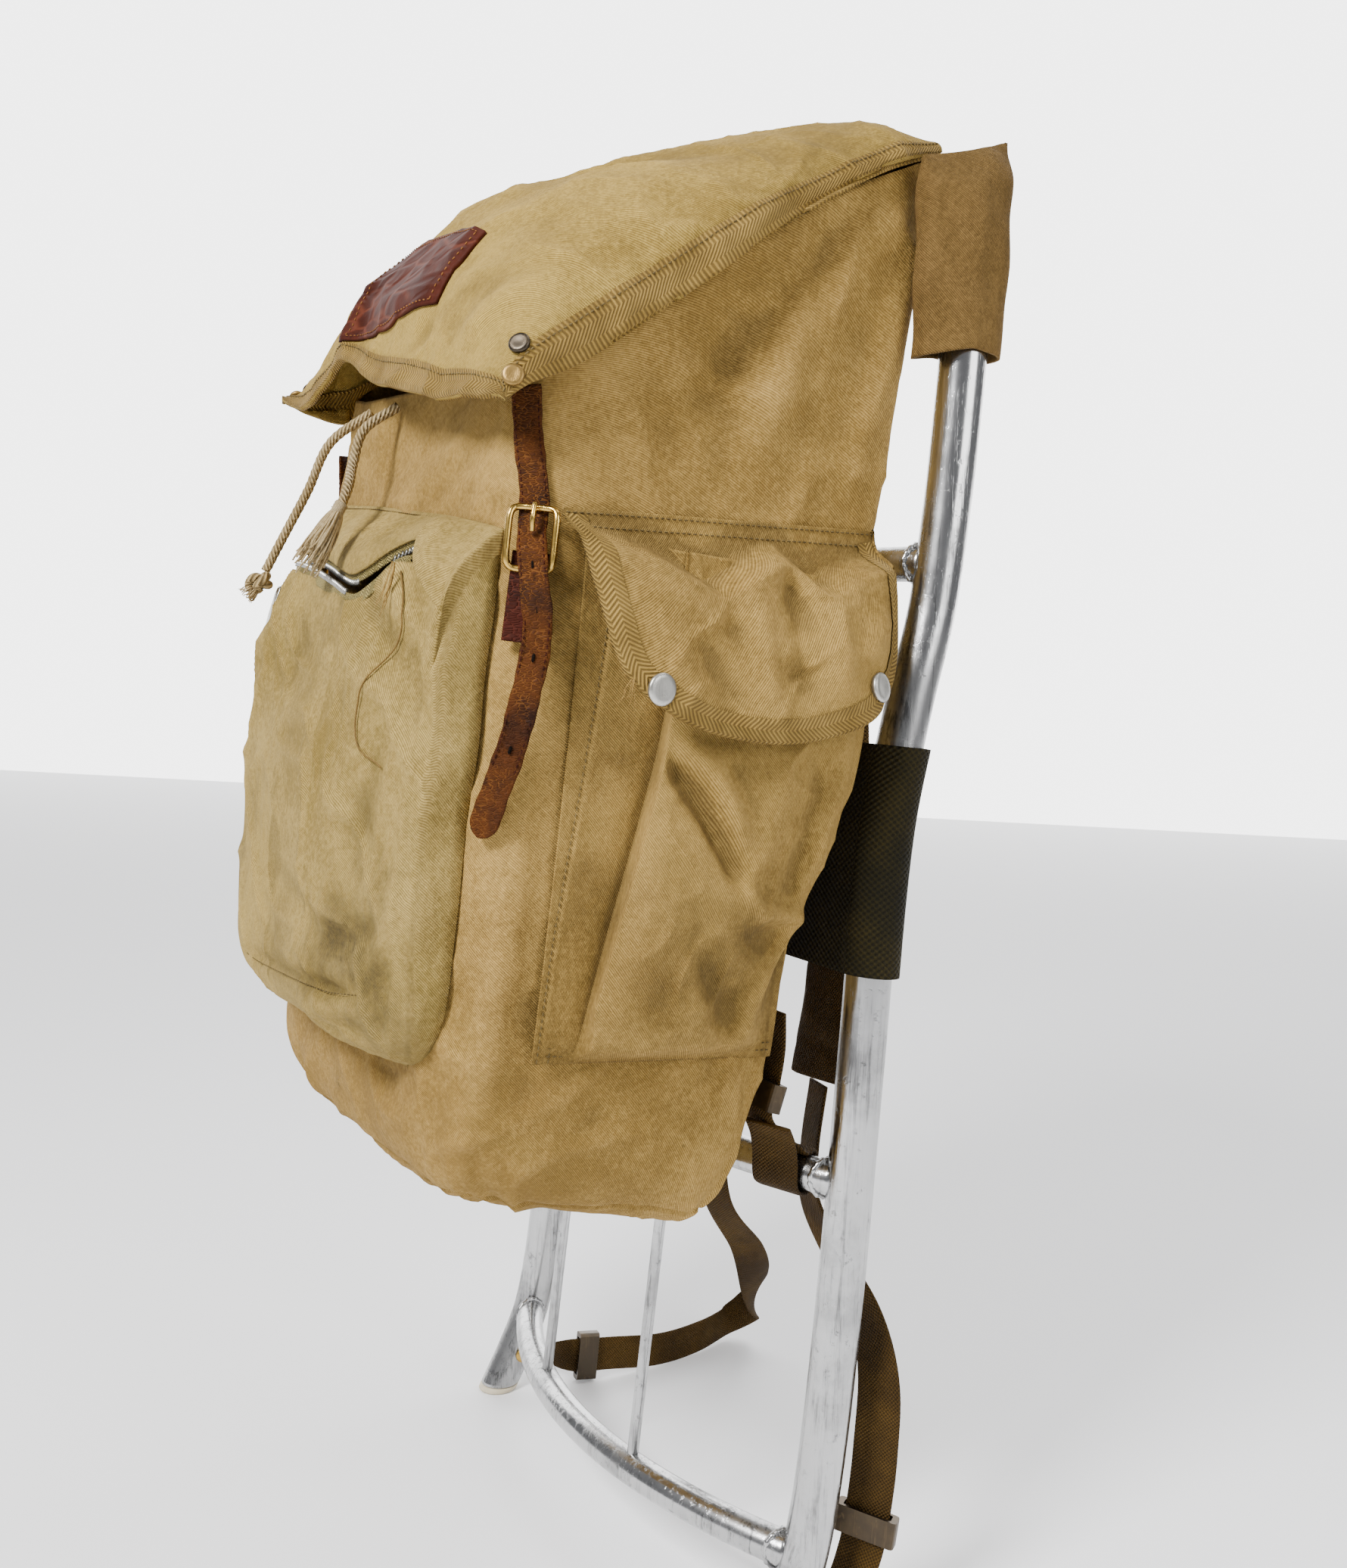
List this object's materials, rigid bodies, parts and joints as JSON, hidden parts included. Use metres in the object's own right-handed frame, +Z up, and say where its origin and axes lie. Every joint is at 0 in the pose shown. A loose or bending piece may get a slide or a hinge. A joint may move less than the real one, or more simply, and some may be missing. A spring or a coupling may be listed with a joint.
{
  "type": "external frame canvas backpack",
  "caption": "Canvas rucksack with a bound lid, leather lid straps and outside pockets, hung on an upright frame of bent aluminium tube with shoulder straps.",
  "frame": {"origin": "on the floor, under the middle of the object's bounding box (cords left out)", "axes": "+Z up, -Y out of the front pocket, +Y towards the wearer, +X towards the side pocket nearest the picture's camera"},
  "size_m": [0.381, 0.4352, 0.8405],
  "materials": {
    "tube": "scuffed bare aluminium tube",
    "plug": "cream plug",
    "brass": "dulled brass",
    "canvas": "faded khaki canvas",
    "strap_leather": "cracked red-brown leather",
    "patch_leather": "worn dark leather",
    "webbing": "brown cotton webbing",
    "band": "coarse olive webbing",
    "cord": "braided cream cotton",
    "nickel": "nickel plate",
    "blackened": "worn black paint"
  },
  "bodies": {
    "root": {"rail_right": "tube", "rail_left": "tube", "crossbar_upper": "tube", "crossbar_lower": "tube", "crossbar_bottom": "tube", "brace_rod_right": "tube", "brace_rod_left": "tube", "foot_plug_right": "plug", "foot_plug_left": "plug", "anchor_pin_right": "brass", "anchor_pin_left": "brass", "bag_body": "canvas", "lid": "canvas", "lid_patch": "patch_leather", "lid_rivet_upper_right": "blackened", "lid_rivet_lower_right": "brass", "lid_rivet_upper_left": "blackened", "lid_rivet_lower_left": "brass", "lid_strap_right": "strap_leather", "lid_strap_left": "strap_leather", "strap_buckle_right": "brass", "strap_buckle_left": "brass", "buckle_tab_right": "strap_leather", "buckle_tab_left": "strap_leather", "drawcord_right": "cord", "drawcord_left": "cord", "cord_knot": "cord", "cord_tassel": "cord", "front_pocket": "canvas", "zip_pull": "nickel", "side_pocket_right": "canvas", "side_pocket_left": "canvas", "side_flap_right": "canvas", "side_flap_left": "canvas", "snap_front_right": "nickel", "snap_back_right": "nickel", "snap_front_left": "nickel", "snap_back_left": "nickel", "rail_sleeve_right": "canvas", "rail_sleeve_left": "canvas", "tie_strap_right": "webbing", "tie_strap_left": "webbing", "tie_buckle_right": "blackened", "tie_buckle_left": "blackened", "back_band": "band", "shoulder_pad_right": "webbing", "shoulder_pad_left": "webbing", "shoulder_web_right": "webbing", "shoulder_web_left": "webbing", "web_slide_right": "blackened", "web_slide_left": "blackened"}
  },
  "joints": []
}
